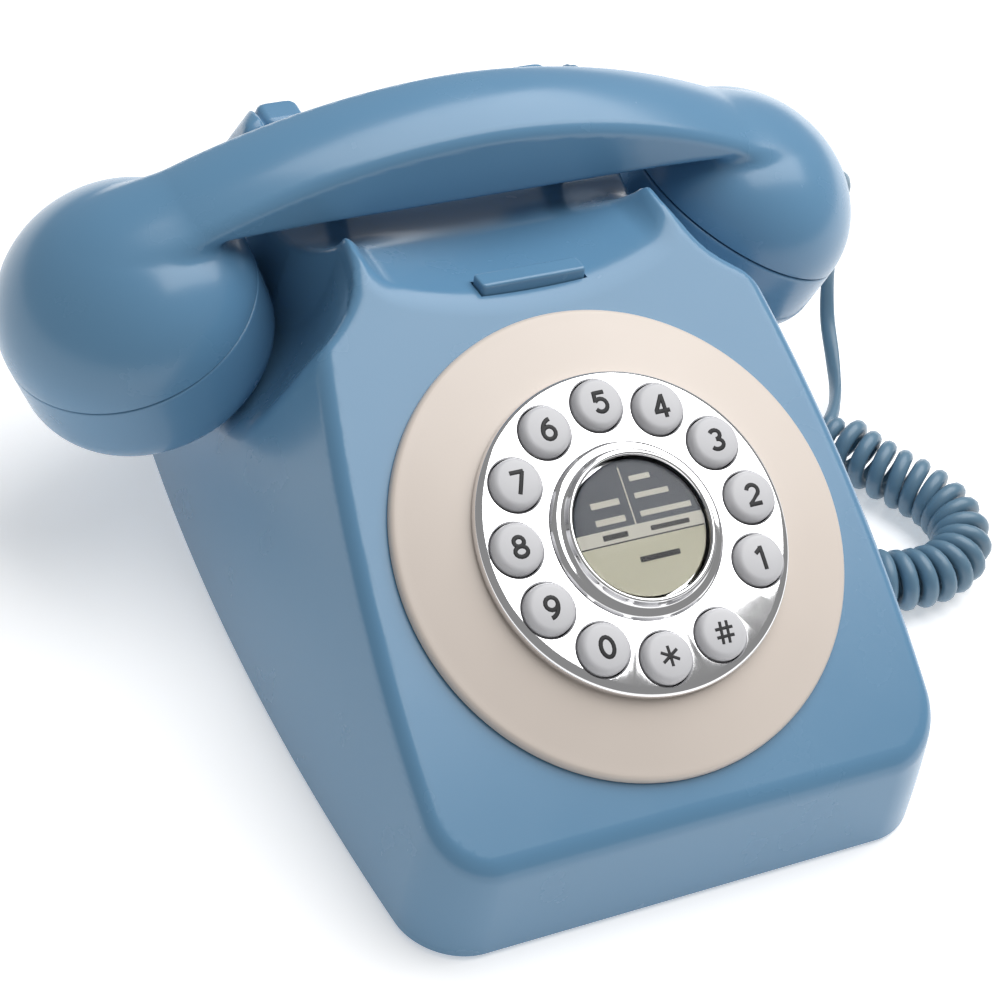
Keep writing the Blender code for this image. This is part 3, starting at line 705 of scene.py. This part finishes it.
def make_cap(name, side, stretch):
    """A turned cap with rounded rim and rings of sound holes; stretch deepens it below its wall."""
    r = CAP_RADIUS
    profile = (
        [(0, -20.8), (6, -20.85), (12, -21.5), (r - 14, -22.6), (r - 12.6, -22.95)]
        + arc(r - 11.6, -11.4, 11.6, -86, -6, 12) + [(r, -8.5), (r + 0.02, -5), (r, -1.4)]
        + arc(r - 0.5, -0.75, 0.5, 0, 90, 3)
        + [(r - 2.6, -0.25), (r - 3.4, -10), (r - 6.6, -16.4), (r - 13, -20.0), (0, -18.6)])
    profile = [(u, w * stretch if w < -5.5 else w) for u, w in profile]
    obj = add_object(
        f"{name}_cap_moulding", lathe_mesh(name, profile, 96, cap_frame(side), closed=False), BLUE)
    holes = []
    for ring, count in ((0, 1), (4, 6), (8, 12)):
        for i in range(count):
            a = 2 * math.pi * i / count
            spot = Matrix.Translation((ring * MM * math.cos(a), ring * MM * math.sin(a), 0))
            holes.append(drum(0.9, -30, -16, 16, cap_frame(side) @ spot))
    cut_by(obj, joined(holes))
    obj.data.set_sharp_from_angle(angle=math.radians(35))
    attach(obj, "handset")
    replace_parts(obj, f"{name}_cap")


def make_handset():
    gland = placed(*GLAND_ROOT) @ GLAND_WAY.to_track_quat("Z", "Y").to_matrix().to_4x4()
    cuts = [drum(3.9, -12, 12, 32, gland)]
    cuts += [box_of((-44, -44, -70), (44, 44, SEAM), cap_frame(side)) for side in (-1, 1)]
    moulded("handset_body", handset_field, (-121, 127, 32), (121, 196, 116), 1.25, BLUE, "handset",
            ["handset_shell"], cuts)
    make_cap("ear", -1, 1.13)
    make_cap("mouth", 1, 1.0)
    relief = [
        (0, 9.6), (1.5, 9.6), (2.2, 9.2), (2.5, 8.2), (2.5, 6.8), (2.2, 6.5), (2.7, 6.2), (2.9, 4.9),
        (2.5, 4.6), (3.2, 4.3), (3.4, 3.0), (3.0, 2.6), (3.6, 2.2), (3.6, -3), (0, -3)]
    add_object("strain_relief", lathe_mesh("relief", relief, 36, gland, closed=False), CORD, "handset",
               ["cord_gland"])


make_handset()

# ---------------------------------------------------------------- dial

KEYS = ("1", "2", "3", "4", "5", "6", "7", "8", "9", "0", "star", "hash")
KEY_CIRCLE, KEY_RADIUS, KEY_TOP, KEY_FOOT = 30.7, 6.15, 12.0, 4.0
FIRST_KEY, KEY_STEP = -26, 29        # degrees
PLATE_TOP, PLATE_RIM, PLATE_BEVEL = 9.4, 39.2, (2.2, 1.5)


def key_frame(number):
    """A key's frame: its middle on the panel, square to it."""
    angle = math.radians(FIRST_KEY + KEY_STEP * number)
    across, up = KEY_CIRCLE * math.cos(angle), KEY_CIRCLE * math.sin(angle)
    return DIAL @ Matrix.Translation((across * MM, up * MM, 0))


def key_height(r):
    """The key's domed top, as a height at each radius."""
    r = np.asarray(r, float)
    return KEY_TOP - 0.5 * (r / 6.0) ** 2.4


def make_surround():
    profile = (
        [(38.2, 3.6), (38.2, 5.9), (38.8, 6.0)]
        + [(r, 6.0 - 3.6 * ((r - 38.8) / 17.0) ** 1.15) for r in np.linspace(40, 55.4, 10)]
        + arc(55.6, 0.9, 1.55, 75, 0, 6)
        + [(57.2, 0.3), (47.2, 0.3), (47.2, -5), (45.2, -5), (45.2, 1.4)])
    add_object("dial_ring", lathe_mesh("dial_ring", profile, 160, DIAL), CREAM, "base", ["dial_surround"])


def make_key_plate():
    """The bright plate, with a rounded bevel and a chamfered hole for each key."""
    wide, tall = PLATE_BEVEL
    profile = (
        [(16.4, 6.8), (16.4, PLATE_TOP), (PLATE_RIM - wide - 0.1, PLATE_TOP)]
        + [(PLATE_RIM - wide + wide * math.sin(a), PLATE_TOP - tall + tall * math.cos(a))
           for a in np.linspace(0.15, 1.5, 8)]
        + [(PLATE_RIM, 6.3), (37.9, 6.3), (37.9, 6.8)])
    obj = add_object("dial_plate", lathe_mesh("dial_plate", profile, 160, DIAL), CHROME)
    inner, outer = KEY_RADIUS + 0.35, KEY_RADIUS + 0.8
    hole = [(0, 4), (inner, 4), (inner, PLATE_TOP - 0.35), (outer, PLATE_TOP + 0.1), (outer, 14), (0, 14)]
    holes = [lathe_mesh("hole", hole, 56, key_frame(number), closed=False) for number in range(len(KEYS))]
    cut_by(obj, joined(holes))
    obj.data.set_sharp_from_angle(angle=math.radians(25))
    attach(obj, "base")
    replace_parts(obj, "key_plate")


def oval(cx, cy, rx, ry, start=0, end=360, count=14):
    """Points along an oval, from one angle to another in degrees."""
    return [(cx + rx * math.cos(math.radians(start + (end - start) * i / count)),
             cy + ry * math.sin(math.radians(start + (end - start) * i / count))) for i in range(count + 1)]


def strokes_of(key):
    """The strokes of each key's character, in millimetres about its middle."""
    if key == "9":
        return [[(-x, -y) for x, y in stroke] for stroke in strokes_of("6")]
    if key == "star":
        return [[(-2.3 * math.cos(a), -2.3 * math.sin(a)), (2.3 * math.cos(a), 2.3 * math.sin(a))]
                for a in (math.pi / 2, math.pi / 6, -math.pi / 6)]
    return {
        "1": [[(-1.3, 1.2), (0.25, 2.25)], [(0.2, 2.7), (0.2, -2.7)]],
        "2": [oval(0, 0.85, 1.4, 1.35, 165, -38, 10) + [(-1.35, -2.1)], [(-1.65, -2.2), (1.6, -2.2)]],
        "3": [oval(-0.1, 1.13, 1.25, 1.07, 150, -90, 10), oval(-0.1, -1.06, 1.5, 1.14, 90, -152, 12)],
        "4": [[(0.65, -2.7), (0.65, 2.7)], [(0.6, 2.4), (-1.55, -0.95)], [(-1.95, -1.15), (1.8, -1.15)]],
        "5": [[(1.45, 2.2), (-1.15, 2.2)], [(-0.95, 2.55), (-1.2, 0.1)],
              oval(-0.05, -0.72, 1.5, 1.48, 142, -152, 14)],
        "6": [oval(0, -0.8, 1.45, 1.42), oval(1.1, -0.8, 2.55, 3.1, 96, 180, 8)],
        "7": [[(-1.6, 2.2), (1.7, 2.2)], [(1.45, 2.3), (-0.55, -2.7)]],
        "8": [oval(0, 1.14, 1.2, 1.07), oval(0, -1.06, 1.5, 1.15)],
        "0": [oval(0, 0, 1.5, 2.2, 0, 360, 18)],
        "hash": [[(-1.1, -2.5), (-0.5, 2.5)], [(0.5, -2.5), (1.1, 2.5)], [(-2.1, 0.9), (2.2, 0.9)],
                 [(-2.2, -0.9), (2.1, -0.9)]],
    }[key]


def glyph(key):
    """A character as flattened ribbons, to be laid on the domed key."""
    curve = bpy.data.curves.new("glyph", "CURVE")
    curve.dimensions = "3D"
    curve.bevel_depth = 0.36 if key in ("hash", "star") else 0.5     # half the stroke's width
    curve.bevel_resolution = 1
    curve.use_fill_caps = True
    for stroke in strokes_of(key):
        ring = math.dist(stroke[0], stroke[-1]) < 0.01
        if len(stroke) == 2:
            stroke = np.linspace(stroke[0], stroke[1], 7).tolist()
        stroke = stroke[:-1] if ring else stroke
        line = curve.splines.new("POLY")
        line.points.add(len(stroke) - 1)
        for point, (x, y) in zip(line.points, stroke):
            point.co = (x, y, 0, 1)
        line.use_cyclic_u = ring
    obj = bpy.data.objects.new("glyph", curve)
    bpy.context.scene.collection.objects.link(obj)
    bpy.context.view_layer.update()
    mesh = bpy.data.meshes.new_from_object(obj.evaluated_get(bpy.context.evaluated_depsgraph_get()))
    bpy.data.objects.remove(obj, do_unlink=True)
    return mesh


MARK_SIZE, MARK_FLATNESS = 1.06, 0.16


def make_keys():
    profile = ([(r, float(key_height(r))) for r in (0, 1, 2, 3, 4, 4.6, 5.0)]
               + [(5.4, 11.5), (5.75, 11.2), (6.0, 10.75), (6.12, 10.1), (KEY_RADIUS, 9.4),
                  (KEY_RADIUS, KEY_FOOT), (0, KEY_FOOT)])
    for number, key in enumerate(KEYS):
        spot = key_frame(number)
        body = f"pad_{key}"
        add_object(f"button_{key}", lathe_mesh("button", profile, 56, spot, closed=False), GREY, body,
                   [f"key_{key}"])
        mesh = glyph(key)
        for v in mesh.vertices:
            v.co.x, v.co.y = v.co.x * MARK_SIZE, v.co.y * MARK_SIZE
            v.co.z = float(key_height(math.hypot(v.co.x, v.co.y))) + v.co.z * MARK_FLATNESS
            v.co *= MM
        mesh.transform(spot)
        add_object(f"mark_{key}", mesh, INK, body)


def make_centre():
    bezel = ([(16.9, 9.6), (17.1, 12.6)] + arc(17.75, 12.6, 0.6, 175, 15, 6)
             + [(18.5, 12.3), (19.0, 11.2), (19.5, 10.9), (20.2, 11.0), (20.9, 10.7), (21.4, 10.1),
                (21.6, 9.7), (21.5, 9.6)])
    add_object("centre_ring", lathe_mesh("centre_ring", bezel, 128, DIAL, crease=40), CHROME, "base",
               ["centre_bezel"])
    lens = [(r, 13.3 - 1.2 * (r / 16.0) ** 2.2) for r in np.linspace(0, 15.6, 12)]
    lens += [(16.1, 12.0), (16.4, 11.7), (16.4, 11.5), (0, 11.5)]
    add_object("label_window", lathe_mesh("label_window", lens, 96, DIAL, closed=False, crease=50), CLEAR,
               "redial", ["label_lens"])
    make_label()


def make_label():
    """The card under the window: a dark upper part, pale lower parts, rules, and bars for words."""
    radius, low, high = 16.3, 10.9, 11.3
    band_low, band_high = -2.5, 0.9

    def slab(name, bottom, top, look):
        """The part of the round card between two heights."""
        a, b = math.asin(max(bottom / radius, -1)), math.asin(min(top / radius, 1))
        right_side = [(radius * math.cos(t), radius * math.sin(t)) for t in np.linspace(a, b, 30)]
        outline = right_side + [(-x, y) for x, y in right_side[::-1]]
        n = len(outline)
        points = [(x, y, low) for x, y in outline] + [(x, y, high) for x, y in outline]
        faces = [tuple(range(n))[::-1], tuple(range(n, 2 * n))]
        faces += [(i, (i + 1) % n, n + (i + 1) % n, n + i) for i in range(n)]
        mesh = mesh_of(name, np.array(points) * MM, faces, smooth=False)
        mesh.transform(DIAL)
        return add_object(name, mesh, look, "redial")

    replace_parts(slab("card_upper", band_high, radius - 0.001, SLATE), "label_card")
    slab("card_band", band_low, band_high, RULE)
    slab("card_lower", -radius + 0.001, band_low, CARD)

    def bars(name, look, spots):
        """Flat bars, each from its left and right ends, the height of its middle and how tall it is."""
        made = bmesh.new()
        for x0, x1, y, tall in spots:
            for v in bmesh.ops.create_cube(made, size=1)["verts"]:
                v.co = Vector((x0 + (v.co.x + 0.5) * (x1 - x0), y + v.co.y * tall, high + v.co.z * 0.16))
        mesh = bpy.data.meshes.new(name)
        made.to_mesh(mesh)
        made.free()
        mesh.transform(DIAL @ Matrix.Scale(MM, 4))
        add_object(name, mesh, look, "redial")

    bars("card_pale_bars", RULE, (
        (-1.1, -0.75, 7.8, 13.8), (1.0, 6.4, 11.6, 1.3), (1.0, 9.9, 7.4, 1.3), (1.0, 14.4, 3.0, 1.3),
        (-10.6, -3.2, 7.0, 1.5), (-10.6, -3.0, 2.9, 1.5)))
    bars("card_dark_bars", INK, (
        (-16, 16, band_low, 0.3), (-10.0, -3.6, -0.8, 1.3), (2.4, 12.6, -0.8, 1.1), (-2.6, 7.8, -7.4, 1.3)))


make_surround()
make_key_plate()
make_keys()
make_centre()

# ---------------------------------------------------------------- smaller pieces

looks = {
    "base_plate": DARK, "line_socket": DARK, "handset_socket": DARK, "ringer_switch": DARK,
    "ringer_sounder": DARK, "hook_plunger_left": DARK, "hook_plunger_right": DARK, "hook_yoke": DARK,
    "hook_switch": DARK, "receiver_capsule": DARK, "microphone_capsule": DARK, "key_mat": RUBBER,
    "main_board": BOARD, "keypad_board": BOARD, "ballast_weight": STEEL, "handset_weight": STEEL,
    "redial_button": GREY, "cord_plug": CLEAR}
looks.update({f"foot_{n}": RUBBER for n in range(1, 5)})
looks.update({f"base_screw_{n}": STEEL for n in range(1, 5)})
looks.update({f"board_post_{n}": DARK for n in range(1, 5)})
for name, look in looks.items():
    data = frame["nodes"][name].data
    data.materials.clear()
    data.materials.append(look)

# ---------------------------------------------------------------- floor and light

floor_mesh = mesh_of("floor", [(-4, -4, 0), (4, -4, 0), (4, 4, 0), (-4, 4, 0)], [(0, 1, 2, 3)], smooth=False)
floor_look, floor_tree, floor_shader = shader_of("floor_paper", (0.93, 0.93, 0.93), 0.9)
floor_shader.inputs["Emission Color"].default_value = (1, 1, 1, 1)
floor_shader.inputs["Emission Strength"].default_value = 0.4
floor_drift = add_noise(floor_tree, 3.0)
tint(floor_tree, floor_shader, floor_drift.outputs["Fac"], (0.925, 0.925, 0.928), (0.935, 0.935, 0.935))
add_object("floor", floor_mesh, floor_look)

background = bpy.data.worlds.new("room")
background.use_nodes = True
background.node_tree.nodes["Background"].inputs["Color"].default_value = (1.0, 1.0, 1.0, 1)
background.node_tree.nodes["Background"].inputs["Strength"].default_value = 0.28
bpy.context.scene.world = background


def area_light(name, place, target, size, power):
    data = bpy.data.lights.new(name, "AREA")
    data.shape = "RECTANGLE"
    data.size, data.size_y = size
    data.energy = power
    obj = bpy.data.objects.new(name, data)
    bpy.context.scene.collection.objects.link(obj)
    obj.location = place
    obj.rotation_euler = (Vector(target) - Vector(place)).to_track_quat("-Z", "Y").to_euler()


area_light("soft_box", (0.50, 0.18, 1.15), (0, 0, 0.06), (1.3, 1.35), 19)

bpy.context.scene.view_settings.view_transform = "Standard"
